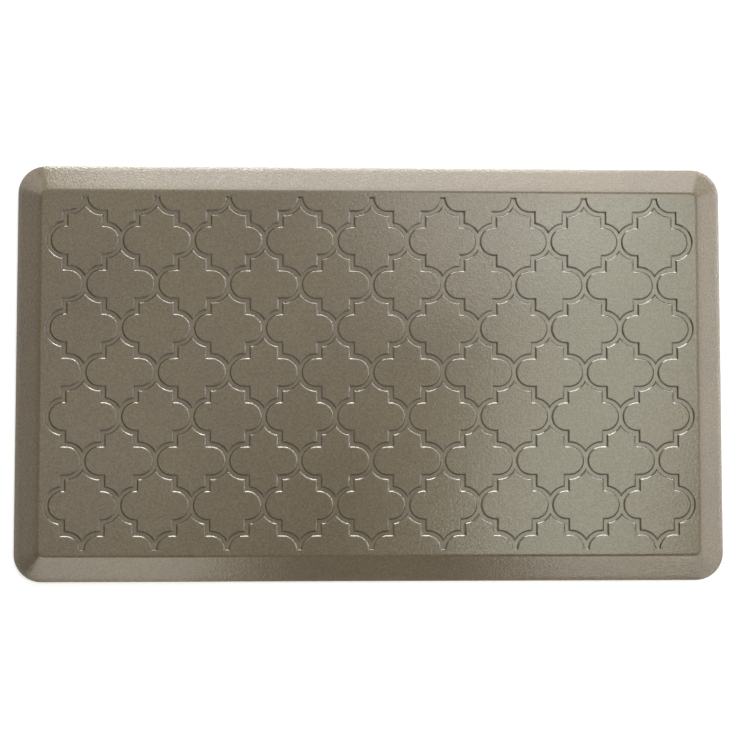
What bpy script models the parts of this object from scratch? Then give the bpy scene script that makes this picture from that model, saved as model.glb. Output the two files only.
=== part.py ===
"""Anti fatigue mat for standing work.

A low rectangular pad with rounded corners and four sloping sides. From the floor up it is a non-slip
base sheet, a woven scrim, a firm foam, a soft foam, and a skin that is drawn over all of them down to
the rim. A trellis of channels is pressed into the flat top of the skin.

Units are metres. +X runs along the length, +Y across the width, +Z up. The origin is at the middle of
the underside.
"""

import math

import bmesh
import bpy
from mathutils import Vector

# Overall size
LENGTH = 0.762
WIDTH = 0.447
THICKNESS = 0.019
CORNER_RADIUS = 0.030
CORNER_SEGMENTS = 7

# Sloping sides, from the top of the rim to the edge of the flat top
RIM_TOP = 0.005
BEVEL_RUN = 0.0285
RIM_ROUNDING = 0.0012

# Layers
LAYER_GAP = 0.0003
BASE_THICKNESS = 0.0020
SCRIM_THICKNESS = 0.0005
SUPPORT_FOAM_THICKNESS = 0.0068
SKIN_THICKNESS = 0.0020
COMFORT_FOAM_LIP = 0.0004
BASE_EDGE_ROUNDING = 0.0004

# Trellis: a lattice of four-lobed motifs, each drawn with arcs of one radius
COLUMNS = 9
ROWS = 4
PITCH_X = 0.0765
PITCH_Y = 0.0942
LOBE_RADIUS = 0.01735
CHANNEL_WIDTH = 0.0056
CHANNEL_DEPTH = 0.0012
ARC_STEP = math.radians(30)
CUTTER_HEADROOM = 0.001

# Worked out from the above
SLOPE = (THICKNESS - RIM_TOP) / BEVEL_RUN
SLANT = math.sqrt(1 + SLOPE * SLOPE)
LINING = SKIN_THICKNESS + LAYER_GAP
LOBE_X = PITCH_X / 2 - LOBE_RADIUS
CUSP_Y = PITCH_Y / 2
HALF_CHANNEL = CHANNEL_WIDTH / 2
WIDE_RADIUS = LOBE_RADIUS + HALF_CHANNEL
TIGHT_RADIUS = LOBE_RADIUS - HALF_CHANNEL
CROSSING_ANGLE = math.acos(LOBE_RADIUS / WIDE_RADIUS)


# ---------------------------------------------------------------- scene and materials


def clear_scene():
    for obj in list(bpy.data.objects):
        bpy.data.objects.remove(obj)


def new_collection(name):
    collection = bpy.data.collections.new(name)
    bpy.context.scene.collection.children.link(collection)
    return collection


def new_material(name, colour, roughness):
    material = bpy.data.materials.new(name)
    material.use_nodes = True
    shader = material.node_tree.nodes["Principled BSDF"]
    shader.inputs["Base Color"].default_value = (*colour, 1)
    shader.inputs["Roughness"].default_value = roughness
    shader.inputs["Metallic"].default_value = 0
    material.diffuse_color = (*colour, 1)
    return material


def new_object(name, mesh, collection):
    obj = bpy.data.objects.new(name, mesh)
    collection.objects.link(obj)
    return obj


# ---------------------------------------------------------------- slabs with sloping sides


def bevel_inset(height, clearance):
    """How far in from the outline a layer's side is at this height, this far under the sloping surface."""
    return (height - RIM_TOP + clearance * SLANT) / SLOPE


def bevel_height(inset, clearance):
    return RIM_TOP + SLOPE * inset - clearance * SLANT


def is_upright(edge):
    """Whether the edge runs along Z."""
    first, second = edge.verts
    return (first.co.xy - second.co.xy).length < LAYER_GAP


def rounded_slab(bottom, top, inset):
    """A box with rounded corners, this far inside the mat's outline, as a bmesh."""
    bm = bmesh.new()
    bmesh.ops.create_cube(bm, size=1)
    size = Vector((LENGTH - 2 * inset, WIDTH - 2 * inset, top - bottom))
    bmesh.ops.scale(bm, vec=size, verts=bm.verts)
    bmesh.ops.translate(bm, vec=(0, 0, (bottom + top) / 2), verts=bm.verts)
    bmesh.ops.bevel(
        bm,
        geom=[edge for edge in bm.edges if is_upright(edge)],
        offset=CORNER_RADIUS - inset,
        segments=CORNER_SEGMENTS,
        profile=0.5,
        affect="EDGES",
    )
    return bm


def top_face(bm):
    return max(bm.faces, key=lambda face: face.calc_center_median().z)


def bottom_face(bm):
    return min(bm.faces, key=lambda face: face.calc_center_median().z)


def slope_sides(bm, run, rise):
    bmesh.ops.inset_region(
        bm,
        faces=[top_face(bm)],
        thickness=run,
        depth=rise,
        use_even_offset=True,
    )


def finish_mesh(bm, name, collection, material):
    bmesh.ops.recalc_face_normals(bm, faces=bm.faces)
    mesh = bpy.data.meshes.new(name)
    bm.to_mesh(mesh)
    bm.free()
    obj = new_object(name, mesh, collection)
    mesh.materials.append(material)
    return obj


def add_bevel(obj, width, segments, angle):
    bevel = obj.modifiers.new("Rounded edges", "BEVEL")
    bevel.width = width
    bevel.segments = segments
    bevel.limit_method = "ANGLE"
    bevel.angle_limit = angle


def shade_smooth(obj):
    obj.data.shade_smooth()
    obj.data.set_sharp_from_angle(angle=math.radians(25))


# ---------------------------------------------------------------- the trellis


def arc(centre_x, centre_y, radius, start, end):
    """Points along an arc, both ends included."""
    steps = max(1, round(abs(end - start) / ARC_STEP))
    angles = [start + (end - start) * i / steps for i in range(steps + 1)]
    return [(centre_x + radius * math.cos(a), centre_y + radius * math.sin(a)) for a in angles]


def plate_quarter(step_x):
    """A plate's edge, from the end of its side lobe to its tip, in the quarter where x and y are positive.

    step_x is where the middle of the channel steps down from the lobe to the tip.
    """
    wall_x = step_x - HALF_CHANNEL
    points = arc(LOBE_X, 0, TIGHT_RADIUS, 0, math.radians(90))
    points.append((wall_x, TIGHT_RADIUS))
    if wall_x > LOBE_RADIUS:
        points.append((wall_x, CUSP_Y - WIDE_RADIUS))
    start = -math.acos(min(0, wall_x - LOBE_RADIUS) / WIDE_RADIUS)
    end = -math.acos(-LOBE_RADIUS / WIDE_RADIUS)
    return points + arc(LOBE_RADIUS, CUSP_Y, WIDE_RADIUS, start, end)


def lattice_quarter(first_angle):
    """The trellis's outer edge round one motif, from the side lobe to the cusp, in the same quarter."""
    last_angle = math.acos(HALF_CHANNEL / WIDE_RADIUS)
    points = arc(LOBE_X, 0, WIDE_RADIUS, first_angle, last_angle)
    points.append((LOBE_X + HALF_CHANNEL, CUSP_Y - TIGHT_RADIUS))
    return points + arc(LOBE_RADIUS, CUSP_Y, TIGHT_RADIUS, math.radians(-90), math.radians(-180))


def placed(points, centre, side_x, side_y):
    return [(centre[0] + side_x * x, centre[1] + side_y * y) for x, y in points]


def without_repeats(points):
    """The closed outline with each point kept once."""
    kept = []
    for point in points:
        if not kept or math.dist(point, kept[-1]) > LAYER_GAP / 10:
            kept.append(point)
    if math.dist(kept[0], kept[-1]) < LAYER_GAP / 10:
        kept.pop()
    return kept


def plate_outline(centre, step_x):
    quarter = plate_quarter(step_x)
    outline = placed(quarter, centre, 1, 1)
    outline += placed(reversed(quarter), centre, -1, 1)
    outline += placed(quarter, centre, -1, -1)
    outline += placed(reversed(quarter), centre, 1, -1)
    return without_repeats(outline)


def motif_centre(column, row):
    return (column - (COLUMNS - 1) / 2) * PITCH_X, (row - (ROWS - 1) / 2) * PITCH_Y


def plate_outlines():
    """Every plate: the rows of main ones, and the rows between them, half a pitch across and one fewer."""
    outlines = []
    for row in range(ROWS):
        for column in range(COLUMNS):
            outlines.append(plate_outline(motif_centre(column, row), LOBE_X))
    for row in range(ROWS - 1):
        for column in range(COLUMNS - 1):
            outlines.append(plate_outline(motif_centre(column + 0.5, row + 0.5), LOBE_RADIUS))
    return outlines


def row_edge(row, side_y):
    """The outer edge along the first or last row, from its low-x end to its high-x end."""
    end, crossing = lattice_quarter(0), lattice_quarter(CROSSING_ANGLE)
    points = []
    for column in range(COLUMNS):
        centre = motif_centre(column, row)
        left = end if column == 0 else crossing
        right = end if column == COLUMNS - 1 else crossing
        points += placed(left, centre, -1, side_y)
        points += placed(reversed(right), centre, 1, side_y)
    return points


def column_edge(column, side_x):
    """The outer edge along the first or last column, from the middle of its lowest motif to its highest."""
    quarter = lattice_quarter(0)
    points = []
    for row in range(ROWS):
        centre = motif_centre(column, row)
        if row > 0:
            points += placed(reversed(quarter), centre, side_x, -1)
        if row < ROWS - 1:
            points += placed(quarter, centre, side_x, 1)
    return points


def trellis_outline():
    outline = row_edge(0, -1)
    outline += column_edge(COLUMNS - 1, 1)
    outline += list(reversed(row_edge(ROWS - 1, 1)))
    outline += list(reversed(column_edge(0, -1)))
    return without_repeats(outline)


def flat_prism(name, outlines, bottom, top, collection):
    """Flat outlines, filled with their inner ones left open, as a solid between two heights."""
    curve = bpy.data.curves.new(name, "CURVE")
    curve.dimensions = "2D"
    curve.fill_mode = "BOTH"
    curve.extrude = (top - bottom) / 2
    for outline in outlines:
        spline = curve.splines.new("POLY")
        spline.points.add(len(outline) - 1)
        for point, (x, y) in zip(spline.points, outline):
            point.co = (x, y, 0, 1)
        spline.use_cyclic_u = True
    outline_object = new_object(name + "_outline", curve, collection)
    outline_object.location = (0, 0, (bottom + top) / 2)
    bpy.context.view_layer.update()
    graph = bpy.context.evaluated_depsgraph_get()
    mesh = bpy.data.meshes.new_from_object(outline_object.evaluated_get(graph))
    bm = bmesh.new()
    bm.from_mesh(mesh)
    bmesh.ops.remove_doubles(bm, verts=bm.verts, dist=LAYER_GAP / 100)
    bmesh.ops.recalc_face_normals(bm, faces=bm.faces)
    bm.to_mesh(mesh)
    bm.free()
    prism = new_object(name, mesh, collection)
    prism.matrix_world = outline_object.matrix_world.copy()
    bpy.data.objects.remove(outline_object)
    return prism


# ---------------------------------------------------------------- the mat's parts


def base_sheet(collection):
    """The non-slip sheet that lies on the floor. Its edge shows under the skin's rim."""
    bm = rounded_slab(0, BASE_THICKNESS, 0)
    material = new_material("base_rubber", (0.030, 0.028, 0.026), 0.85)
    obj = finish_mesh(bm, "base_sheet", collection, material)
    add_bevel(obj, BASE_EDGE_ROUNDING, 1, math.radians(60))
    return obj


def reinforcing_scrim(collection):
    """The woven mesh bonded over the base sheet."""
    bottom = BASE_THICKNESS + LAYER_GAP
    bm = rounded_slab(bottom, bottom + SCRIM_THICKNESS, LINING)
    material = new_material("scrim_polyester", (0.62, 0.60, 0.55), 0.90)
    return finish_mesh(bm, "reinforcing_scrim", collection, material)


def support_foam(collection):
    """The firm layer, which fills the foot of the sloping sides."""
    bottom = BASE_THICKNESS + SCRIM_THICKNESS + 2 * LAYER_GAP
    top = bottom + SUPPORT_FOAM_THICKNESS
    lip = bevel_height(LINING, LINING)
    bm = rounded_slab(bottom, lip, LINING)
    slope_sides(bm, bevel_inset(top, LINING) - LINING, top - lip)
    material = new_material("support_foam", (0.060, 0.060, 0.062), 0.95)
    return finish_mesh(bm, "support_foam", collection, material)


def comfort_foam(collection):
    """The soft layer, right under the skin."""
    bottom = BASE_THICKNESS + SCRIM_THICKNESS + SUPPORT_FOAM_THICKNESS + 3 * LAYER_GAP
    top = THICKNESS - LINING
    lip = bottom + COMFORT_FOAM_LIP
    inset = bevel_inset(lip, LINING)
    bm = rounded_slab(bottom, lip, inset)
    slope_sides(bm, bevel_inset(top, LINING) - inset, top - lip)
    material = new_material("comfort_foam", (0.70, 0.66, 0.52), 0.95)
    return finish_mesh(bm, "comfort_foam", collection, material)


def top_skin(collection, cutters):
    """The embossed skin: a shallow tray, open underneath, with the trellis pressed into its flat top."""
    bm = rounded_slab(BASE_THICKNESS + LAYER_GAP, RIM_TOP, 0)
    slope_sides(bm, BEVEL_RUN, THICKNESS - RIM_TOP)
    bmesh.ops.delete(bm, geom=[bottom_face(bm)], context="FACES")
    material = new_material("skin_polyurethane", (0.21, 0.18, 0.135), 0.42)
    skin = finish_mesh(bm, "top_skin", collection, material)
    add_bevel(skin, RIM_ROUNDING, 2, math.radians(45))

    shell = skin.modifiers.new("Skin thickness", "SOLIDIFY")
    shell.thickness = SKIN_THICKNESS
    shell.offset = -1
    shell.use_even_offset = True

    floor = THICKNESS - CHANNEL_DEPTH
    outlines = [trellis_outline()] + plate_outlines()
    trellis = flat_prism("trellis_channels", outlines, floor, THICKNESS + CUTTER_HEADROOM, cutters)
    trellis.hide_render = True
    trellis.display_type = "WIRE"
    press = skin.modifiers.new("Trellis channels", "BOOLEAN")
    press.operation = "DIFFERENCE"
    press.solver = "EXACT"
    press.object = trellis
    return skin


def main():
    clear_scene()
    mat = new_collection("anti_fatigue_mat")
    cutters = new_collection("cutters")
    parts = [
        base_sheet(mat),
        reinforcing_scrim(mat),
        support_foam(mat),
        comfort_foam(mat),
        top_skin(mat, cutters),
    ]
    for part in parts:
        shade_smooth(part)


main()
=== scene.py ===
"""The looks of the anti fatigue mat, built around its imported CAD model.

Every piece is modelled as the thing it is: an embossed skin, two foams, a woven scrim and a
studded base sheet. Units are metres, in the CAD's frame: +X along the mat, +Y across it, +Z up.
"""

import math

import bmesh
import bpy
import numpy as np
from mathutils import Matrix, Vector, geometry


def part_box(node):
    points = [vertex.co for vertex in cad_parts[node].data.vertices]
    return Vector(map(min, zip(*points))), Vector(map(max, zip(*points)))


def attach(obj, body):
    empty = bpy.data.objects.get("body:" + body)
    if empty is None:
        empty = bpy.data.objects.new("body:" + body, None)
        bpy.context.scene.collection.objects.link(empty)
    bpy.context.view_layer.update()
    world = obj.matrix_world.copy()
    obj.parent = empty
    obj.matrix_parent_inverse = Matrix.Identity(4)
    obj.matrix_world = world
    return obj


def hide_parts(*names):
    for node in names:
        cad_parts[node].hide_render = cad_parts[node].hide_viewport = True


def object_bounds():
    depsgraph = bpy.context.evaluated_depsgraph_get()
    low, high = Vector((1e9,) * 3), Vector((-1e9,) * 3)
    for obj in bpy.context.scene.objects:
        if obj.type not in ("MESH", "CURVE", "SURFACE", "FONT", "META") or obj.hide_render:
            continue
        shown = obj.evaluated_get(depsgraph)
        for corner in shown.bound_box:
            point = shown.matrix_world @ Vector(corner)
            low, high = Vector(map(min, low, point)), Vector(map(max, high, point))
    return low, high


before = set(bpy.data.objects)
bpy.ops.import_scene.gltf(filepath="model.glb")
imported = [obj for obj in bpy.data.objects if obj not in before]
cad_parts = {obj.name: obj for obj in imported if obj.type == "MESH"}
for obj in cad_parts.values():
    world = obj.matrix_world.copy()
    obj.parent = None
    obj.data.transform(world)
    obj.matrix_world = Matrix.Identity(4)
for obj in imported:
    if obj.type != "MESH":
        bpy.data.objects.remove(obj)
cad_low, cad_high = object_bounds()

# ---------------------------------------------------------------- sizes

HALF_LENGTH, HALF_WIDTH, TOP = cad_high
CORNER_RADIUS = 0.030
# An outline moved in by some inset has corners tighter by this share of it
CORNER_SHRINK = 0.78
BEVEL_RUN = 0.0285
RIM_TOP = 0.005
SLOPE = (TOP - RIM_TOP) / BEVEL_RUN
SLOPE_ANGLE = math.atan(SLOPE)
SLANT = math.sqrt(1 + SLOPE * SLOPE)

SKIN_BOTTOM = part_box("top_skin")[0].z
SKIN_THICKNESS = 0.0020
LAYER_GAP = 0.0003
LINING = SKIN_THICKNESS + LAYER_GAP

# The skin's side: its rounded edges, and in how many pieces each stretch is drawn
FLAT_TOP_INSET = 0.0310
TOP_EDGE_RADIUS = 0.0080
RIM_RADIUS = 0.0020
LIP_RADIUS = 0.0004
TOP_EDGE_PIECES = 4
SLOPE_PIECES = 5
RIM_PIECES = 6
# The middle of a quarter circle lies this share of its radius in from both sides
QUARTER_MIDDLE = 0.29

# The trellis, as in the CAD: motifs of four lobes, drawn with arcs of one radius
COLUMNS = 9
ROWS = 4
PITCH_X = 0.0765
PITCH_Y = 0.0942
LOBE_RADIUS = 0.01735
LOBE_X = PITCH_X / 2 - LOBE_RADIUS
CUSP_Y = PITCH_Y / 2
HALF_CHANNEL = 0.0028
CHANNEL_DEPTH = 0.0012

# The channel's rounded edges
BROW_RADIUS = 0.0008
WALL_RADIUS = 0.0040
FOOT_RADIUS = 0.0003
BROW_ANGLE = math.radians(37)
WALL_ANGLE = math.radians(46)
# radius, steepness reached, and crease there, down the wall
WALL_TURNS = (
    (BROW_RADIUS, 0, 0),
    (BROW_RADIUS, BROW_ANGLE * 0.65, 0.1),
    (BROW_RADIUS, BROW_ANGLE, 0.5),
    (WALL_RADIUS, WALL_ANGLE, 1),
)
FLAT_MARGIN = 0.0004
CORNER_CUT = 0.0006

# How finely the trellis is drawn
ARC_PIECE = 0.0021
ROUND_PIECES = round(LOBE_RADIUS * math.pi / 2 / ARC_PIECE)
# About how far the arc at a motif's tip turns
TIP_TURN = 1.1
TIP_PIECES = round(TIP_TURN * LOBE_RADIUS / ARC_PIECE)
STEP_PIECES = 3
LEDGE_PIECES = 2

# How closely flat ground is filled with points, and how far they stay from its edges
FILL_SPACING = 0.0085
FILL_MARGIN = 0.0035
# How many points are tested together, and how near two points count as one
POINTS_AT_ONCE = 200
SAME_PLACE = 1e-9
REPEAT_GAP = 1e-6

# How finely the mat's outline is drawn
SIDE_PIECE = 0.008
CORNER_PIECES = 14

FOAM_EDGE_RADIUS = 0.0030
FOAM_FOOT_RADIUS = 0.0004
FOAM_TOP_MARGIN = 0.0015
FOAM_SPACING = 0.009
FOAM_EDGE_PIECES = 3
FOAM_SLOPE_PIECES = 4
# How far the points of a cut face sink, at most
COMFORT_UNEVENNESS = 0.00008
SUPPORT_UNEVENNESS = 0.00006

scrim_low, scrim_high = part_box("reinforcing_scrim")
scrim_middle = (scrim_low.z + scrim_high.z) / 2
SCRIM_CORNER = CORNER_RADIUS - LINING
YARN_PITCH = 0.009
YARN_WIDTH = 0.0034
YARN_THICKNESS = 0.00024
# A flat yarn's section, in half widths and half thicknesses. The half thickness is a little
# short, so that yarns clear each other where they cross
YARN_SECTION = ((-1, 0), (-0.6, -1), (0.6, -1), (1, 0), (0.6, 1), (-0.6, 1))
YARN_HALF_THICKNESS = 0.45

BASE_EDGE_RADIUS = 0.0005
GRIP_BORDER = 0.012
GRIP_DEPTH = 0.0006
STUD_PITCH = 0.012
STUD_RADIUS = 0.0030
STUD_SIDES = 10
# A stud narrows to its shoulder and then to its crown, as shares of its radius and depth
STUD_SHOULDER = 0.86
STUD_CROWN = 0.70
SHOULDER_DEPTH = 0.18

# ---------------------------------------------------------------- colours and finishes

# Nearly all of a noise's values lie between these
NOISE_SPREAD = (0.3, 0.7)

SKIN_WARM = (0.221, 0.176, 0.120)
SKIN_COOL = (0.200, 0.161, 0.112)
# Dark for the grain's valleys and lumps, and for the painted shade on the channels' walls
SKIN_GRAIN_DARK_AND_PAINTED_SHADE = (0.036, 0.027, 0.018)
# Painted light: the paler colour of the channels' floors, and how far they turn to it
SKIN_FLOOR_PAINTED_LIGHT = (0.315, 0.245, 0.160)
FLOOR_PAINTED_LIGHT_SHARE = 0.25
SKIN_IOR = 1.71
SKIN_ROUGHNESS = 0.115
WALL_POLISH = 0.035
WALL_GRAIN = 0.45
GRAIN_SIZE = 0.0015
LUMP_SIZE = 0.0023
LUMP_HEIGHT = 0.000120
VALLEY_DEPTH = 0.00001
# How far the channels' walls are darkened: painted shade
WALL_PAINTED_SHADE = 0.9
# The grain's cells: how they are bent, and how wide, dark and rough their valleys are
GRAIN_BEND_SIZE = 0.005
GRAIN_BEND = 0.0016
VALLEY_WIDTH = 0.22
VALLEY_DARKENING = 0.32
VALLEY_ROUGHNESS = 0.12
FINE_GRAIN_DEPTH = 0.00001
# The slow drift of colour and gloss over the mat
PATCH_SIZE = 0.11
PATCH_SPREAD = (0.35, 0.65)
CLOUD_SIZE = 0.018
CLOUD_SHARE = 0.35
ROUGHNESS_DRIFT = 0.015
# The wall's finish and painted shade are whole at this crease, and the channel floor's painted
# light has faded out at this one
WALL_CREASE = 0.9
GROUND_CREASE = -0.2

COMFORT_COLOUR = (0.72, 0.67, 0.52)
COMFORT_DEEP = (0.50, 0.44, 0.30)
COMFORT_PORE = 0.0011
SUPPORT_COLOUR = (0.066, 0.066, 0.068)
SUPPORT_DEEP = (0.03, 0.03, 0.031)
SUPPORT_PORE = 0.0008
FOAM_DRIFT_SIZE = 0.06
FOAM_DRIFT_SHARE = 0.25
PORE_SPREAD = (0.15, 0.55)
SMALL_PORE_SPREAD = (0.15, 0.6)
SMALL_PORE = 0.45
PORE_DARKENING = 0.55
PORE_DEPTH = 0.5
SMALL_PORE_DEPTH = 0.2
FOAM_ROUGHNESS = (0.88, 0.98)

YARN_WARM = (0.60, 0.58, 0.52)
YARN_PALE = (0.68, 0.66, 0.61)
YARN_SHADE = (0.40, 0.38, 0.34)
YARN_SHADE_SHARE = 0.25
YARN_DRIFT_SIZE = 0.03
FIBRE_SIZE = 0.0002
FIBRE_DEPTH = 0.00008
YARN_ROUGHNESS = (0.7, 0.9)
YARN_SHEEN = 0.3

RUBBER_COLOUR = (0.034, 0.031, 0.028)
RUBBER_DUST = (0.060, 0.056, 0.051)
DUST_SIZE = 0.03
DUST_SPREAD = (0.45, 0.75)
DUST_SHARE = 0.5
RUBBER_GRAIN_SIZE = 0.0004
RUBBER_GRAIN_DEPTH = 0.00006
RUBBER_ROUGHNESS = (0.68, 0.86)

# ---------------------------------------------------------------- camera, floor and lights

CAMERA_LENS = 57.99
CAMERA_SENSOR = 36
CAMERA_PLACE = (-0.0383, -0.0594, 1.2994)
CAMERA_TARGET = (-0.0022, -0.0001, 0.019)

FLOOR_RADIUS = 1.7
FLOOR_SIDES = 64
FLOOR_COOL = (0.87, 0.87, 0.88)
FLOOR_PALE = (0.885, 0.885, 0.895)
FLOOR_DRIFT_SIZE = 0.8
FLOOR_GLOW = 0.45
FLOOR_GAP = 0.0001
WORLD_PALE = 1.16
# height in the sky, from 0 at the horizon to 1 overhead, and the share of WORLD_PALE there
WORLD_BAND = ((0.02, 0.35), (0.17, 0.95), (0.26, 1.0), (0.46, 0.03))
WORLD_SEEN = 1.1

# name, azimuth, elevation, distance, size, roll, radiance, tint
SOFTBOXES = (
    ("key_behind", 92, 10.5, 3.60, (2.60, 0.90), 0, 15.2, (1.00, 0.99, 0.91)),
    ("key_behind_right", 53, 6.2, 3.20, (2.40, 0.58), 0, 13.4, (1.00, 1.00, 0.97)),
    ("fill_behind", 82, 28, 3.20, (2.90, 0.90), 0, 2.73, (0.98, 0.99, 1.00)),
    ("fill_behind_left", 142, 21, 2.60, (1.30, 0.60), 0, 0.99, (1.00, 0.98, 0.92)),
    ("low_right", 10, 7, 2.60, (1.70, 0.46), 0, 5.6, (1.00, 1.00, 0.96)),
    ("fill_right", 3, 24, 2.00, (1.40, 0.60), 0, 1.25, (1.00, 1.00, 0.96)),
    ("slope_right", 0, 47, 2.20, (1.80, 0.70), 0, 0.87, (1.00, 1.00, 0.93)),
    ("fill_front_right", 323, 23, 2.20, (1.50, 0.66), 0, 1.74, (1.00, 0.98, 0.88)),
    ("low_front_right", 294, 30, 2.40, (0.74, 0.40), 0, 3.4, (1.00, 0.95, 0.84)),
    ("low_front_left", 241, 30, 1.80, (1.06, 0.50), 0, 2.6, (1.00, 0.94, 0.81)),
    ("overhead_right", 1, 70, 1.95, (1.25, 0.57), -15, 2.91, (0.92, 1.00, 0.87)),
    ("overhead_behind_right", 54, 67, 2.48, (0.99, 0.65), 65, 2.32, (0.98, 1.00, 0.94)),
    ("overhead_left", 212, 66, 2.20, (1.00, 0.80), 0, 0.26, (1.00, 0.98, 0.90)),
    ("overhead_behind", 118, 67, 2.32, (2.07, 2.00), 3, 0.46, (1.00, 1.00, 0.98)),
)


# ---------------------------------------------------------------- mesh building


class Body:
    """The points and faces of one piece, gathered before they become a mesh."""

    def __init__(self):
        self.points = []
        self.faces = []
        self.crease = []

    def add(self, points, crease=0.0):
        """Adds points and returns their numbers.

        crease is 1 on a channel's wall, 0 on flat ground and -1 on a channel's floor.
        """
        first = len(self.points)
        self.points.extend(tuple(p) for p in points)
        self.crease.extend([crease] * len(points))
        return list(range(first, len(self.points)))

    def strip(self, ring, other):
        """Quads between two closed rings with as many points."""
        count = len(ring)
        for i in range(count):
            j = (i + 1) % count
            self.faces.append((ring[i], ring[j], other[j], other[i]))

    def skin_over(self, rings):
        for ring, other in zip(rings, rings[1:]):
            self.strip(ring, other)

    def fill(self, numbers, triangles):
        """Triangles whose corners count along numbers."""
        self.faces.extend(tuple(numbers[i] for i in face) for face in triangles)

    def object(self, name):
        mesh = bpy.data.meshes.new(name)
        mesh.from_pydata(self.points, [], self.faces)
        bm = bmesh.new()
        bm.from_mesh(mesh)
        bmesh.ops.recalc_face_normals(bm, faces=bm.faces)
        bm.to_mesh(mesh)
        bm.free()
        values = np.array(self.crease, np.float32)
        mesh.attributes.new("crease", "FLOAT", "POINT").data.foreach_set("value", values)
        mesh.shade_smooth()
        obj = bpy.data.objects.new(name, mesh)
        bpy.context.scene.collection.objects.link(obj)
        return obj


def at_height(outline, z):
    return [(x, y, z) for x, y in outline]


def between(points, loops):
    """Which of the points lie inside an odd number of the closed loops."""
    start = np.concatenate([np.array(loop) for loop in loops])
    end = np.concatenate([np.roll(np.array(loop), -1, axis=0) for loop in loops])
    lowest, highest = np.minimum(start, end)[:, 1], np.maximum(start, end)[:, 1]
    inside = np.zeros(len(points), bool)
    by_height = np.argsort(points[:, 1], kind="stable")
    for band in np.array_split(by_height, len(points) // POINTS_AT_ONCE + 1):
        x, y = points[band, :1], points[band, 1:]
        near = (lowest <= y.max()) & (highest >= y.min()) & (lowest < highest)
        a, b = start[near], end[near]
        spans = (a[:, 1] > y) != (b[:, 1] > y)
        cross = a[:, 0] + (y - a[:, 1]) * (b[:, 0] - a[:, 0]) / (b[:, 1] - a[:, 1])
        inside[band] = ((x < cross) & spans).sum(axis=1) % 2 == 1
    return inside


def hexagonal_grid(half_x, half_y, spacing):
    rows = int(half_y / (spacing * math.sqrt(0.75)))
    columns = int(half_x / spacing) + 1
    points = []
    for row in range(-rows, rows + 1):
        shift = 0.5 * (row % 2)
        for column in range(-columns, columns + 1):
            points.append(((column + shift) * spacing, row * spacing * math.sqrt(0.75)))
    return np.array(points)


def grid_between(loops, spacing, margin):
    """Grid points inside the first loop and outside the others, this far from every edge."""
    points = hexagonal_grid(*np.abs(np.array(loops[0])).max(axis=0), spacing)
    points = points[between(points, loops)]
    edges = np.concatenate([np.array(loop) for loop in loops])
    near = np.array([np.min(np.hypot(*(edges - p).T)) < margin for p in points])
    return points[~near]


def triangles_between(loops, inner_points=()):
    """Fills the first loop and leaves the others open.

    The triangles number the loops' points, then the inner points.
    """
    coordinates, edges = [], []
    for loop in loops:
        first, count = len(coordinates), len(loop)
        coordinates.extend(Vector(p) for p in loop)
        edges.extend((first + i, first + (i + 1) % count) for i in range(count))
    coordinates.extend(Vector(p) for p in inner_points)
    result = geometry.delaunay_2d_cdt(coordinates, edges, [], 0, SAME_PLACE, True)
    origin = np.array([ids[0] for ids in result[3]])
    triangles = origin[np.array(result[2])]
    centres = np.array(coordinates)[triangles].mean(axis=1)
    return triangles[between(centres, loops)].tolist()


# ---------------------------------------------------------------- outlines


def rounded_rectangle(inset):
    """The mat's outline, moved in by inset, with the same number of points for every inset."""
    radius = CORNER_RADIUS - CORNER_SHRINK * inset
    corner_x, corner_y = HALF_LENGTH - inset - radius, HALF_WIDTH - inset - radius
    turns = [(1, 1, 0), (-1, 1, 90), (-1, -1, 180), (1, -1, 270)]
    outline = []
    for number, (side_x, side_y, start) in enumerate(turns):
        for i in range(CORNER_PIECES + 1):
            angle = math.radians(start + 90 * i / CORNER_PIECES)
            x = side_x * corner_x + radius * math.cos(angle)
            y = side_y * corner_y + radius * math.sin(angle)
            outline.append((x, y))
        along, across = (HALF_LENGTH, 0) if number % 2 == 0 else (0, HALF_WIDTH)
        steps = int(2 * (along + across) / SIDE_PIECE)
        next_x, next_y = turns[(number + 1) % 4][:2]
        leave = outline[-1]
        arrive = (
            next_x * (corner_x + (0 if number % 2 == 0 else radius)),
            next_y * (corner_y + (radius if number % 2 == 0 else 0)),
        )
        for i in range(1, steps):
            share = i / steps
            outline.append(tuple(a + (b - a) * share for a, b in zip(leave, arrive)))
    return outline


def arc(centre_x, centre_y, radius, start, end, pieces):
    angles = [start + (end - start) * i / pieces for i in range(pieces + 1)]
    return [(centre_x + radius * math.cos(a), centre_y + radius * math.sin(a)) for a in angles]


def straight(start, end, pieces):
    """The points strictly between start and end."""
    return [
        tuple(a + (b - a) * i / pieces for a, b in zip(start, end)) for i in range(1, pieces)
    ]


def with_flags(points, corners):
    """Marks each point as a corner to be rounded, or not."""
    corners = set(corners)
    return [(p, i in corners) for i, p in enumerate(points)]


def rounded_corners(path):
    """The closed outline with each marked corner cut and eased by three points."""
    outline = []
    for i, (point, corner) in enumerate(path):
        if not corner:
            outline.append(point)
            continue
        here = Vector(point)
        before, after = Vector(path[i - 1][0]), Vector(path[(i + 1) % len(path)][0])
        start = here + (before - here).normalized() * CORNER_CUT
        end = here + (after - here).normalized() * CORNER_CUT
        outline += [tuple(start), tuple((start + end) / 4 + here / 2), tuple(end)]
    return outline


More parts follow.
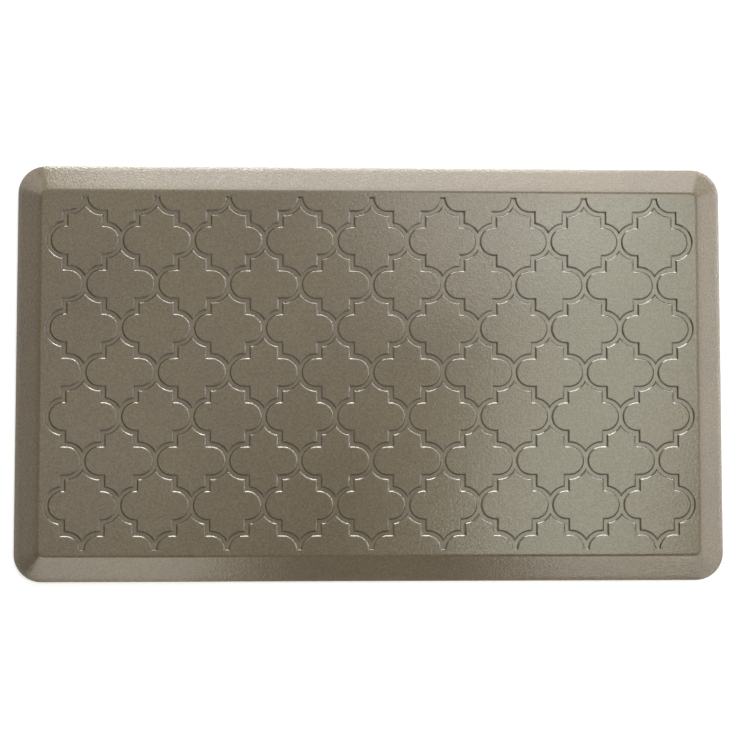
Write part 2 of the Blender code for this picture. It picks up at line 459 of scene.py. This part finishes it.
def plate_quarter(step_x, distance):
    """A plate's edge this far from the middle of the channel, from its side lobe to its tip."""
    radius, wide = LOBE_RADIUS - distance, LOBE_RADIUS + distance
    wall_x = step_x - distance
    lobe = arc(LOBE_X, 0, radius, 0, math.pi / 2, ROUND_PIECES)
    ledge_corner = (wall_x, radius)
    lead = max(0, wall_x - LOBE_RADIUS)
    reach = min(0, wall_x - LOBE_RADIUS)
    top_corner = (wall_x, CUSP_Y - math.sqrt(wide * wide - reach * reach))
    points = lobe + straight(lobe[-1], ledge_corner, LEDGE_PIECES)
    corners = [len(points)]
    points.append(ledge_corner)
    points += straight(ledge_corner, top_corner, STEP_PIECES)
    corners.append(len(points))
    start, end = math.acos(reach / wide), math.acos(-LOBE_RADIUS / wide)
    whole = lead + wide * (end - start)
    for i in range(TIP_PIECES + 1):
        run = whole * i / TIP_PIECES - lead
        if run < 0:
            points.append((LOBE_RADIUS - run, CUSP_Y - wide))
        else:
            angle = start + run / wide
            x, y = LOBE_RADIUS + wide * math.cos(angle), CUSP_Y - wide * math.sin(angle)
            points.append((x, y))
    corners.append(len(points) - 1)
    return with_flags(points, corners)


def lattice_quarter(distance, crossing, ends):
    """The trellis's outer edge, this far from the channel's middle, from side lobe to cusp.

    crossing is True where the lobe meets its neighbour's, and ends where the cusp is a closed
    stub.
    """
    wide, tight = LOBE_RADIUS + distance, LOBE_RADIUS - distance
    first = math.acos(LOBE_RADIUS / wide) if crossing else 0
    pieces = TIP_PIECES if crossing else ROUND_PIECES
    points = arc(LOBE_X, 0, wide, first, math.acos(distance / wide), pieces)
    corners = [0] if crossing else []
    corners.append(len(points) - 1)
    step = (LOBE_X + distance, CUSP_Y - tight)
    points += straight(points[-1], step, STEP_PIECES)
    corners.append(len(points))
    points.append(step)
    points += straight(step, (LOBE_RADIUS, CUSP_Y - tight), LEDGE_PIECES)
    if not ends:
        points += arc(LOBE_RADIUS, CUSP_Y, tight, -math.pi / 2, -math.pi, ROUND_PIECES)
        return with_flags(points, corners)
    stub_y = CUSP_Y + distance - HALF_CHANNEL
    last = math.asin((CUSP_Y - stub_y + 2 * CORNER_CUT) / tight)
    points += arc(LOBE_RADIUS, CUSP_Y, tight, -math.pi / 2, last - math.pi, ROUND_PIECES)
    below = max(0, CUSP_Y - stub_y)
    corners.append(len(points))
    points.append((LOBE_RADIUS - math.sqrt(tight * tight - below * below), stub_y))
    return with_flags(points, corners)


def placed(path, centre, side_x, side_y):
    return [((centre[0] + side_x * x, centre[1] + side_y * y), flag) for (x, y), flag in path]


def without_repeats(path):
    kept = []
    for point, flag in path:
        if not kept or math.dist(point, kept[-1][0]) > REPEAT_GAP:
            kept.append((point, flag))
    if math.dist(kept[0][0], kept[-1][0]) < REPEAT_GAP:
        kept.pop()
    return kept


def plate_outline(step_x, distance):
    """A whole plate's edge, about its own middle."""
    quarter = plate_quarter(step_x, distance)
    path = placed(quarter, (0, 0), 1, 1)
    path += placed(reversed(quarter), (0, 0), -1, 1)
    path += placed(quarter, (0, 0), -1, -1)
    path += placed(reversed(quarter), (0, 0), 1, -1)
    return rounded_corners(without_repeats(path))


def motif_centre(column, row):
    return (column - (COLUMNS - 1) / 2) * PITCH_X, (row - (ROWS - 1) / 2) * PITCH_Y


def row_edge(row, side_y, distance):
    """The outer edge along the first or last row, from low x to high x."""
    path = []
    for column in range(COLUMNS):
        centre = motif_centre(column, row)
        left = lattice_quarter(distance, column > 0, True)
        right = lattice_quarter(distance, column < COLUMNS - 1, True)
        path += placed(left, centre, -1, side_y)
        path += placed(reversed(right), centre, 1, side_y)
    return path


def column_edge(column, side_x, distance):
    """The outer edge along the first or last column, from the lowest lobe to the highest."""
    quarter = lattice_quarter(distance, False, False)
    path = []
    for row in range(ROWS):
        centre = motif_centre(column, row)
        if row > 0:
            path += placed(reversed(quarter), centre, side_x, -1)
        if row < ROWS - 1:
            path += placed(quarter, centre, side_x, 1)
    return path


def trellis_outline(distance):
    """The whole outer edge of the trellis, this far from the middle of the channel."""
    path = row_edge(0, -1, distance)
    path += column_edge(COLUMNS - 1, 1, distance)
    path += list(reversed(row_edge(ROWS - 1, 1, distance)))
    path += list(reversed(column_edge(0, -1, distance)))
    return rounded_corners(without_repeats(path))


# ---------------------------------------------------------------- the top skin


def channel_profile():
    """(distance from the channel's middle, drop, crease) from the flat top to the floor.

    The wall rolls over a tight brow, gets slowly steeper, and ends in a tight foot.
    """
    run, drop, before = 0, 0, 0
    wall = []
    for radius, angle, crease in WALL_TURNS:
        run += radius * (math.sin(angle) - math.sin(before))
        drop += radius * (math.cos(before) - math.cos(angle))
        wall.append((run, drop, crease))
        before = angle
    foot = FOOT_RADIUS * (1 - math.cos(WALL_ANGLE))
    run += (CHANNEL_DEPTH - drop - foot) / math.tan(WALL_ANGLE)
    for angle in (WALL_ANGLE, WALL_ANGLE / 2, 0):
        along = run + FOOT_RADIUS * (math.sin(WALL_ANGLE) - math.sin(angle))
        wall.append((along, CHANNEL_DEPTH - FOOT_RADIUS * (1 - math.cos(angle)), 1))
    edge = HALF_CHANNEL + wall[-1][0] / 2
    profile = [(edge + FLAT_MARGIN, 0, 0)]
    profile += [(edge - along, drop, crease) for along, drop, crease in wall]
    profile.append((edge - wall[-1][0] - FLAT_MARGIN, CHANNEL_DEPTH, -1))
    return profile


def rolled(inset, height, radius, start, end, pieces):
    """(inset, height) points round an edge whose sharp corner is at inset and height.

    start and end are the steepness of the surface before and after the edge.
    """
    tangent = radius * math.tan((end - start) / 2)
    first_inset = inset + tangent * math.cos(start)
    first_height = height + tangent * math.sin(start)
    points = []
    for i in range(pieces + 1):
        angle = start + (end - start) * i / pieces
        fall = radius * (math.cos(start) - math.cos(angle))
        out = radius * (math.sin(angle) - math.sin(start))
        points.append((first_inset - out, first_height - fall))
    return points


def skin_side_profile():
    """(inset, height) from the flat top, over the slope and the rim, and back inside."""
    level, upright = 0, math.pi / 2
    profile = [(FLAT_TOP_INSET, TOP)]
    profile += rolled(BEVEL_RUN, TOP, TOP_EDGE_RADIUS, level, SLOPE_ANGLE, TOP_EDGE_PIECES)
    rim = rolled(0, RIM_TOP, RIM_RADIUS, SLOPE_ANGLE, upright, RIM_PIECES)
    profile += straight(profile[-1], rim[0], SLOPE_PIECES) + rim
    inner_top = TOP - SKIN_THICKNESS
    drop = SKIN_THICKNESS * SLANT
    inner_edge = (inner_top - RIM_TOP + drop) / SLOPE
    profile += [
        (0, SKIN_BOTTOM + 2 * LIP_RADIUS),
        (0, SKIN_BOTTOM + LIP_RADIUS),
        (LIP_RADIUS * QUARTER_MIDDLE, SKIN_BOTTOM + LIP_RADIUS * QUARTER_MIDDLE),
        (LIP_RADIUS, SKIN_BOTTOM),
        (SKIN_THICKNESS - LIP_RADIUS / 2, SKIN_BOTTOM),
        (SKIN_THICKNESS, SKIN_BOTTOM + LIP_RADIUS / 2),
        (SKIN_THICKNESS, RIM_TOP + SLOPE * SKIN_THICKNESS - drop),
        (inner_edge, inner_top),
    ]
    return profile


def top_skin():
    """One closed shell: the flat top and its trellis, the slopes, the rim and the inside."""
    body = Body()
    profile = channel_profile()

    def press(outlines, move):
        """Rings down one side of the channel, moved to their place."""
        rings = []
        for outline, (_, drop, crease) in zip(outlines, profile):
            points = [(x + move[0], y + move[1], TOP - drop) for x, y in outline]
            rings.append(body.add(points, crease))
        body.skin_over(rings)
        return rings

    floors, floor_rings = [], []
    kinds = (
        (LOBE_X, 0, ROWS, COLUMNS),
        (LOBE_RADIUS, 0.5, ROWS - 1, COLUMNS - 1),
    )
    for step_x, offset, rows, columns in kinds:
        outlines = [plate_outline(step_x, distance) for distance, _, _ in profile]
        fill = grid_between([outlines[0]], FILL_SPACING, FILL_MARGIN)
        triangles = triangles_between([outlines[0]], fill)
        for row in range(rows):
            for column in range(columns):
                move = motif_centre(column + offset, row + offset)
                rings = press(outlines, move)
                inner = body.add([(x + move[0], y + move[1], TOP) for x, y in fill])
                body.fill(rings[0] + inner, triangles)
                floors.append([(x + move[0], y + move[1]) for x, y in outlines[-1]])
                floor_rings += rings[-1]

    edge_outlines = [trellis_outline(distance) for distance, _, _ in profile]
    edge_rings = press(edge_outlines, (0, 0))
    body.fill(edge_rings[-1] + floor_rings, triangles_between([edge_outlines[-1], *floors]))

    side_profile = skin_side_profile()
    sides = [body.add(at_height(rounded_rectangle(inset), z)) for inset, z in side_profile]
    body.skin_over(sides)
    body.faces.append(tuple(sides[-1]))

    border = rounded_rectangle(side_profile[0][0])
    fill = grid_between([border, edge_outlines[0]], FILL_SPACING, FILL_MARGIN)
    triangles = triangles_between([border, edge_outlines[0]], fill)
    body.fill(sides[0] + edge_rings[0] + body.add(at_height(fill, TOP)), triangles)
    return body.object("top_skin_embossed")


# ---------------------------------------------------------------- the foams


def foam_side_profile(node):
    """(inset, height) down a foam layer: flat top, slope under the skin, foot, flat bottom."""
    low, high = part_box(node)
    foot = HALF_LENGTH - high.x
    drop = LINING * SLANT
    top_inset = (high.z - RIM_TOP + drop) / SLOPE
    lip = RIM_TOP + SLOPE * foot - drop
    level, upright = 0, math.pi / 2
    edge, end = FOAM_EDGE_RADIUS, FOAM_FOOT_RADIUS
    profile = [(top_inset + FOAM_TOP_MARGIN, high.z)]
    profile += rolled(top_inset, high.z, edge, level, SLOPE_ANGLE, FOAM_EDGE_PIECES)
    foot_edge = rolled(foot, lip, end, SLOPE_ANGLE, upright, FOAM_EDGE_PIECES)
    profile += straight(profile[-1], foot_edge[0], FOAM_SLOPE_PIECES) + foot_edge
    profile += [(foot, low.z + end / 2), (foot + end / 2, low.z), (foot + 2 * end, low.z)]
    return profile


def foam(node, name, unevenness, seed):
    """A foam layer cut to lie under the skin, as uneven as a sliced block."""
    body = Body()
    profile = foam_side_profile(node)
    rings = [body.add(at_height(rounded_rectangle(inset), z)) for inset, z in profile]
    body.skin_over(rings)
    for ring, (inset, z) in ((rings[0], profile[0]), (rings[-1], profile[-1])):
        loop = rounded_rectangle(inset)
        fill = grid_between([loop], FOAM_SPACING, FOAM_SPACING / 2)
        triangles = triangles_between([loop], fill)
        body.fill(ring + body.add(at_height(fill, z)), triangles)
    random = np.random.default_rng(seed)
    sunk = random.uniform(0, unevenness, len(body.points))
    middle = (profile[0][1] + profile[-1][1]) / 2
    body.points = [
        (x, y, z - dz if z > middle else z + dz) for (x, y, z), dz in zip(body.points, sunk)
    ]
    return body.object(name)


# ---------------------------------------------------------------- the scrim


def half_span(across, half_across, half_along):
    """How far the rounded outline reaches along one axis at this distance across it."""
    corner = half_across - SCRIM_CORNER
    if abs(across) <= corner:
        return half_along
    off = abs(across) - corner
    return half_along - SCRIM_CORNER + math.sqrt(SCRIM_CORNER**2 - off**2)


def yarn(body, place, across, start, end, first_side):
    """One flat yarn, weaving over and under the yarns that cross it.

    place turns (along, across, z) into a point.
    """
    first, last = math.ceil(start / YARN_PITCH), math.floor(end / YARN_PITCH)
    crossings = [i * YARN_PITCH for i in range(first, last + 1)]
    sides = [first_side * (-1) ** i for i in range(first, last + 1)]
    stations = [(start, 0)] + list(zip(crossings, sides)) + [(end, 0)]
    rings = []
    for along, side in stations:
        z = scrim_middle + side * YARN_THICKNESS / 2
        points = [
            place(
                along, across + u * YARN_WIDTH / 2, z + v * YARN_THICKNESS * YARN_HALF_THICKNESS
            )
            for u, v in YARN_SECTION
        ]
        rings.append(body.add(points))
    body.skin_over(rings)
    body.faces += [tuple(rings[0]), tuple(reversed(rings[-1]))]


def reinforcing_scrim():
    """An open plain weave of flat polyester yarns, trimmed to the mat's outline."""
    body = Body()
    half_x, half_y = scrim_high.x, scrim_high.y
    ways = (
        (lambda a, c, z: (a, c, z), half_y, half_x, 1),
        (lambda a, c, z: (c, a, z), half_x, half_y, -1),
    )
    for place, half_across, half_along, first_side in ways:
        last = int(half_across / YARN_PITCH)
        for number in range(-last, last + 1):
            across = number * YARN_PITCH
            reach = half_span(across, half_across, half_along)
            yarn(body, place, across, -reach, reach, first_side * (-1) ** number)
    return body.object("scrim_weave")


# ---------------------------------------------------------------- the base sheet


def base_sheet():
    """The rubber sheet on the floor, with round grip studs inside a flat border underneath."""
    body = Body()
    low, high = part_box("base_sheet")
    edge = BASE_EDGE_RADIUS
    profile = [
        (SKIN_THICKNESS, high.z),
        (edge, high.z),
        (edge * QUARTER_MIDDLE, high.z - edge * QUARTER_MIDDLE),
        (0, high.z - edge),
        (0, low.z + edge),
        (edge * QUARTER_MIDDLE, low.z + edge * QUARTER_MIDDLE),
        (edge, low.z),
        (GRIP_BORDER, low.z),
        (GRIP_BORDER + GRIP_DEPTH, low.z + GRIP_DEPTH),
        (GRIP_BORDER + 2 * GRIP_DEPTH, low.z + GRIP_DEPTH),
    ]
    outlines = [rounded_rectangle(inset) for inset, _ in profile]
    rings = [body.add(at_height(o, z)) for o, (_, z) in zip(outlines, profile)]
    body.skin_over(rings)
    body.faces.append(tuple(rings[0]))

    field = outlines[-1]
    middles = grid_between([field], STUD_PITCH, STUD_RADIUS * 2)
    turns = [2 * math.pi * i / STUD_SIDES for i in range(STUD_SIDES)]
    holes, roots = [], []
    for x, y in middles:
        root, shoulder, crown = (
            [(x + r * math.cos(t), y + r * math.sin(t)) for t in turns]
            for r in (STUD_RADIUS, STUD_RADIUS * STUD_SHOULDER, STUD_RADIUS * STUD_CROWN)
        )
        stud = [
            body.add(at_height(root, low.z + GRIP_DEPTH)),
            body.add(at_height(shoulder, low.z + GRIP_DEPTH * SHOULDER_DEPTH)),
            body.add(at_height(crown, low.z)),
        ]
        body.skin_over(stud)
        body.faces.append(tuple(stud[-1]))
        holes.append(root)
        roots += stud[0]
    body.fill(rings[-1] + roots, triangles_between([field, *holes]))
    return body.object("base_sheet_studded")


# ---------------------------------------------------------------- materials


class Nodes:
    """A material's node tree, with one call for each kind of node it needs."""

    def __init__(self, name):
        self.material = bpy.data.materials.new(name)
        self.material.use_nodes = True
        self.tree = self.material.node_tree
        self.shader = self.tree.nodes["Principled BSDF"]
        self.place = self.add("ShaderNodeTexCoord").outputs["Object"]

    def add(self, kind, inputs=(), **settings):
        node = self.tree.nodes.new(kind)
        for key, value in settings.items():
            setattr(node, key, value)
        for key, value in dict(inputs).items():
            if isinstance(value, bpy.types.NodeSocket):
                self.tree.links.new(value, node.inputs[key])
            else:
                node.inputs[key].default_value = value
        return node

    def noise(self, size, detail=2, roughness=0.5):
        """Noise with features about this size, from 0 to 1."""
        inputs = {
            "Vector": self.place,
            "Scale": 1 / size,
            "Detail": detail,
            "Roughness": roughness,
        }
        return self.add("ShaderNodeTexNoise", inputs).outputs["Fac"]

    def warped(self, size, strength):
        """The place, shifted about by this much in a pattern of this size."""
        inputs = {"Vector": self.place, "Scale": 1 / size, "Detail": 1}
        wobble = self.add("ShaderNodeTexNoise", inputs)
        centred = self.add(
            "ShaderNodeVectorMath",
            {0: wobble.outputs["Color"], 1: (0.5, 0.5, 0.5)},
            operation="SUBTRACT",
        ).outputs["Vector"]
        scaled = self.add(
            "ShaderNodeVectorMath", {0: centred, "Scale": strength}, operation="SCALE"
        ).outputs["Vector"]
        return self.add(
            "ShaderNodeVectorMath", {0: self.place, 1: scaled}, operation="ADD"
        ).outputs["Vector"]

    def cells(self, size, feature, place=None):
        """The distance in a Voronoi pattern of cells about this size."""
        inputs = {"Vector": place or self.place, "Scale": 1 / size}
        return self.add("ShaderNodeTexVoronoi", inputs, feature=feature).outputs["Distance"]

    def remap(self, value, low, high, to_low=0.0, to_high=1.0, smooth=False):
        """The value, moved from one range to the other and kept inside it."""
        inputs = {
            "Value": value,
            "From Min": low,
            "From Max": high,
            "To Min": to_low,
            "To Max": to_high,
        }
        kind = "SMOOTHSTEP" if smooth else "LINEAR"
        return self.add("ShaderNodeMapRange", inputs, interpolation_type=kind).outputs["Result"]

    def math(self, operation, first, second):
        return self.add("ShaderNodeMath", {0: first, 1: second}, operation=operation).outputs[0]

    def mix(self, share, first, second):
        """Colours mixed by share."""
        node = self.add("ShaderNodeMix", data_type="RGBA")
        for socket, value in ((0, share), (6, first), (7, second)):
            if isinstance(value, bpy.types.NodeSocket):
                self.tree.links.new(value, node.inputs[socket])
            else:
                node.inputs[socket].default_value = value if socket == 0 else (*value, 1)
        return node.outputs[2]

    def attribute(self, name):
        return self.add("ShaderNodeAttribute", attribute_name=name).outputs["Fac"]

    def bump(self, height, depth, strength, below=None):
        inputs = {"Height": height, "Distance": depth, "Strength": strength}
        if below is not None:
            inputs["Normal"] = below
        return self.add("ShaderNodeBump", inputs).outputs["Normal"]

    def finish(self, **sockets):
        for name, value in sockets.items():
            socket = self.shader.inputs[name.replace("_", " ")]
            if isinstance(value, bpy.types.NodeSocket):
                self.tree.links.new(value, socket)
            else:
                socket.default_value = value
        return self.material


def skin_material():
    """Taupe polyurethane with a fine pebbled leather grain, duller in the grain's valleys.

    The channels' walls are smoother and darkened with painted shade, and their floors are made
    a little paler with painted light.
    """
    n = Nodes("skin_polyurethane_grain")
    bent = n.warped(GRAIN_BEND_SIZE, GRAIN_BEND)
    cells = n.cells(GRAIN_SIZE, "DISTANCE_TO_EDGE", bent)
    valleys = n.remap(cells, 0.0, VALLEY_WIDTH, smooth=True)
    lumps = n.noise(LUMP_SIZE, detail=1)
    fine = n.noise(GRAIN_SIZE / 5, detail=2)
    patches = n.noise(PATCH_SIZE, detail=3)
    cloud = n.noise(CLOUD_SIZE, detail=2)
    wall = n.remap(n.attribute("crease"), 0.0, WALL_CREASE, smooth=True)
    # Painted light on the channels' floors, fading out towards the walls
    ground = n.remap(n.attribute("crease"), -1.0, GROUND_CREASE, FLOOR_PAINTED_LIGHT_SHARE, 0.0)

    centred = n.math("SUBTRACT", lumps, 0.5)
    pebble = n.math("MULTIPLY", centred, n.remap(wall, 0.0, 1.0, 1.0, WALL_GRAIN))

    tone = n.mix(n.remap(patches, *PATCH_SPREAD), SKIN_COOL, SKIN_WARM)
    tone = n.mix(n.remap(cloud, *NOISE_SPREAD, 0.0, CLOUD_SHARE), tone, SKIN_WARM)
    tone = n.mix(n.remap(valleys, 0.0, 1.0, VALLEY_DARKENING, 0.0), tone, SKIN_GRAIN_DARK_AND_PAINTED_SHADE)
    tone = n.mix(n.remap(lumps, *NOISE_SPREAD, VALLEY_DARKENING, 0.0), tone, SKIN_GRAIN_DARK_AND_PAINTED_SHADE)
    # Painted light: the channels' floors are made paler
    tone = n.mix(ground, tone, SKIN_FLOOR_PAINTED_LIGHT)
    # Painted shade: the channels' walls are darkened
    tone = n.mix(n.math("MULTIPLY", wall, WALL_PAINTED_SHADE), tone, SKIN_GRAIN_DARK_AND_PAINTED_SHADE)

    smoothest, roughest = SKIN_ROUGHNESS - ROUGHNESS_DRIFT, SKIN_ROUGHNESS + ROUGHNESS_DRIFT
    rough = n.remap(patches, *NOISE_SPREAD, smoothest, roughest)
    rough = n.math("ADD", rough, n.remap(valleys, 0.0, 1.0, VALLEY_ROUGHNESS, 0.0))
    rough = n.math("SUBTRACT", rough, n.math("MULTIPLY", wall, WALL_POLISH))

    grain = n.bump(fine, FINE_GRAIN_DEPTH, 1.0)
    grain = n.bump(pebble, LUMP_HEIGHT, 1.0, grain)
    grain = n.bump(valleys, VALLEY_DEPTH, 1.0, grain)
    return n.finish(Base_Color=tone, Roughness=rough, Normal=grain, IOR=SKIN_IOR)


def foam_material(name, colour, deep, pore):
    """Foam: round pores of two sizes, darker inside, and a slow drift of colour."""
    n = Nodes(name)
    pores = n.remap(n.cells(pore, "F1"), *PORE_SPREAD, smooth=True)
    small = n.remap(n.cells(pore * SMALL_PORE, "F1"), *SMALL_PORE_SPREAD, smooth=True)
    drift = n.noise(FOAM_DRIFT_SIZE, detail=3)
    tone = n.mix(n.remap(drift, *NOISE_SPREAD, 0.0, FOAM_DRIFT_SHARE), colour, deep)
    tone = n.mix(n.remap(pores, 0.0, 1.0, PORE_DARKENING, 0.0), tone, deep)
    open_cells = n.bump(small, pore * SMALL_PORE_DEPTH, 0.5)
    open_cells = n.bump(pores, pore * PORE_DEPTH, 0.8, open_cells)
    rough = n.remap(drift, *NOISE_SPREAD, *FOAM_ROUGHNESS)
    return n.finish(Base_Color=tone, Roughness=rough, Normal=open_cells, IOR=1.45)


def scrim_material():
    """Off-white polyester: a fine fleck of filaments, a slow drift of colour, a soft sheen."""
    n = Nodes("scrim_polyester_yarn")
    fibres = n.noise(FIBRE_SIZE, detail=4, roughness=0.7)
    drift = n.noise(YARN_DRIFT_SIZE, detail=2)
    tone = n.mix(n.remap(drift, *NOISE_SPREAD), YARN_WARM, YARN_PALE)
    tone = n.mix(n.remap(fibres, *NOISE_SPREAD, YARN_SHADE_SHARE, 0.0), tone, YARN_SHADE)
    rough = n.remap(fibres, *NOISE_SPREAD, *YARN_ROUGHNESS)
    strands = n.bump(fibres, FIBRE_DEPTH, 0.7)
    return n.finish(Base_Color=tone, Roughness=rough, Normal=strands, Sheen_Weight=YARN_SHEEN)


def base_material():
    """Dark rubber with a matt moulded texture and a few dusty patches."""
    n = Nodes("base_rubber_moulded")
    texture = n.noise(RUBBER_GRAIN_SIZE, detail=3, roughness=0.65)
    dust = n.noise(DUST_SIZE, detail=4, roughness=0.6)
    dusty = n.remap(dust, *DUST_SPREAD, 0.0, DUST_SHARE)
    tone = n.mix(dusty, RUBBER_COLOUR, RUBBER_DUST)
    rough = n.remap(dust, *NOISE_SPREAD, *RUBBER_ROUGHNESS)
    moulded = n.bump(texture, RUBBER_GRAIN_DEPTH, 0.6)
    return n.finish(Base_Color=tone, Roughness=rough, Normal=moulded, IOR=1.5)


def floor_material():
    """Pale, matt studio floor, lit a little from below as a light table is."""
    n = Nodes("studio_floor")
    drift = n.noise(FLOOR_DRIFT_SIZE, detail=2)
    tone = n.mix(n.remap(drift, *NOISE_SPREAD), FLOOR_COOL, FLOOR_PALE)
    glow = {"Emission_Color": (1, 1, 1, 1), "Emission_Strength": FLOOR_GLOW}
    return n.finish(Base_Color=tone, Roughness=0.9, IOR=1.3, **glow)


# ---------------------------------------------------------------- studio


def studio_floor():
    mesh = bpy.data.meshes.new("studio_floor")
    bm = bmesh.new()
    bmesh.ops.create_circle(bm, cap_ends=True, radius=FLOOR_RADIUS, segments=FLOOR_SIDES)
    bm.to_mesh(mesh)
    bm.free()
    floor = bpy.data.objects.new("studio_floor", mesh)
    floor.location.z = cad_low.z - FLOOR_GAP
    bpy.context.scene.collection.objects.link(floor)
    mesh.materials.append(floor_material())


def camera():
    """Nearly overhead, above the middle of the mat, at the photograph's angle and distance."""
    data = bpy.data.cameras.new("camera")
    data.lens = CAMERA_LENS
    data.sensor_width = CAMERA_SENSOR
    obj = bpy.data.objects.new("camera", data)
    obj.location = CAMERA_PLACE
    ahead = (Vector(CAMERA_TARGET) - Vector(CAMERA_PLACE)).normalized()
    right = ahead.cross(Vector((0, 1, 0))).normalized()
    above = right.cross(ahead)
    axes = Matrix((right, above, -ahead)).transposed()
    obj.rotation_mode = "QUATERNION"
    obj.rotation_quaternion = axes.to_quaternion()
    bpy.context.scene.collection.objects.link(obj)
    bpy.context.scene.camera = obj


def softbox(name, azimuth, elevation, distance, size, roll, radiance, tint):
    """A rectangular light that faces the mat's middle, its long side level but for the roll.

    The angles are in degrees.
    """
    data = bpy.data.lights.new(name, "AREA")
    data.shape = "RECTANGLE"
    data.size, data.size_y = size
    data.energy = math.pi * size[0] * size[1] * radiance
    data.color = tint
    turn, rise, roll = (math.radians(angle) for angle in (azimuth, elevation, roll))
    level_share = math.cos(rise)
    away = Vector((math.cos(turn) * level_share, math.sin(turn) * level_share, math.sin(rise)))
    level = (-away).cross(Vector((0, 0, 1))).normalized()
    above = level.cross(-away)
    right = math.cos(roll) * level + math.sin(roll) * above
    top = math.cos(roll) * above - math.sin(roll) * level
    obj = bpy.data.objects.new(name, data)
    obj.location = away * distance
    obj.rotation_mode = "QUATERNION"
    obj.rotation_quaternion = Matrix((right, top, away)).transposed().to_quaternion()
    obj.visible_camera = False
    bpy.context.scene.collection.objects.link(obj)


def surroundings():
    """A dark room overhead with a pale band low down.

    The camera itself sees plain white behind the floor.
    """
    world = bpy.data.worlds.new("studio")
    bpy.context.scene.world = world
    world.use_nodes = True
    tree = world.node_tree
    place = tree.nodes.new("ShaderNodeTexCoord")
    split = tree.nodes.new("ShaderNodeSeparateXYZ")
    ramp = tree.nodes.new("ShaderNodeValToRGB")
    ramp.color_ramp.interpolation = "EASE"
    while len(ramp.color_ramp.elements) < len(WORLD_BAND):
        ramp.color_ramp.elements.new(0.5)
    for element, (height, share) in zip(ramp.color_ramp.elements, WORLD_BAND):
        element.position = height
        element.color = (share, share, share, 1)
    scale = tree.nodes.new("ShaderNodeMath")
    scale.operation = "MULTIPLY"
    scale.inputs[1].default_value = WORLD_PALE
    seen = tree.nodes.new("ShaderNodeLightPath")
    choice = tree.nodes.new("ShaderNodeMix")
    choice.inputs["B"].default_value = WORLD_SEEN
    tree.links.new(place.outputs["Generated"], split.inputs["Vector"])
    tree.links.new(split.outputs["Z"], ramp.inputs["Fac"])
    tree.links.new(ramp.outputs["Color"], scale.inputs[0])
    tree.links.new(seen.outputs["Is Camera Ray"], choice.inputs["Factor"])
    tree.links.new(scale.outputs["Value"], choice.inputs["A"])
    background = tree.nodes["Background"]
    background.inputs["Color"].default_value = (1, 1, 1, 1)
    tree.links.new(choice.outputs["Result"], background.inputs["Strength"])


# ---------------------------------------------------------------- everything together

# piece, the CAD node that it stands for, the record's slot, material
pieces = (
    (top_skin(), "top_skin", "skin_polyurethane", skin_material()),
    (
        foam("comfort_foam", "comfort_foam_layer", COMFORT_UNEVENNESS, seed=1),
        "comfort_foam",
        "comfort_foam",
        foam_material("comfort_foam_open_cell", COMFORT_COLOUR, COMFORT_DEEP, COMFORT_PORE),
    ),
    (
        foam("support_foam", "support_foam_core", SUPPORT_UNEVENNESS, seed=2),
        "support_foam",
        "support_foam",
        foam_material("support_foam_closed_cell", SUPPORT_COLOUR, SUPPORT_DEEP, SUPPORT_PORE),
    ),
    (reinforcing_scrim(), "reinforcing_scrim", "scrim_polyester", scrim_material()),
    (base_sheet(), "base_sheet", "base_rubber", base_material()),
)
for piece, node, slot, material in pieces:
    piece.data.materials.append(material)
    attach(piece, "root")
    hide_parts(node)

studio_floor()
camera()
surroundings()
for settings in SOFTBOXES:
    softbox(*settings)
bpy.context.scene.view_settings.view_transform = "Standard"
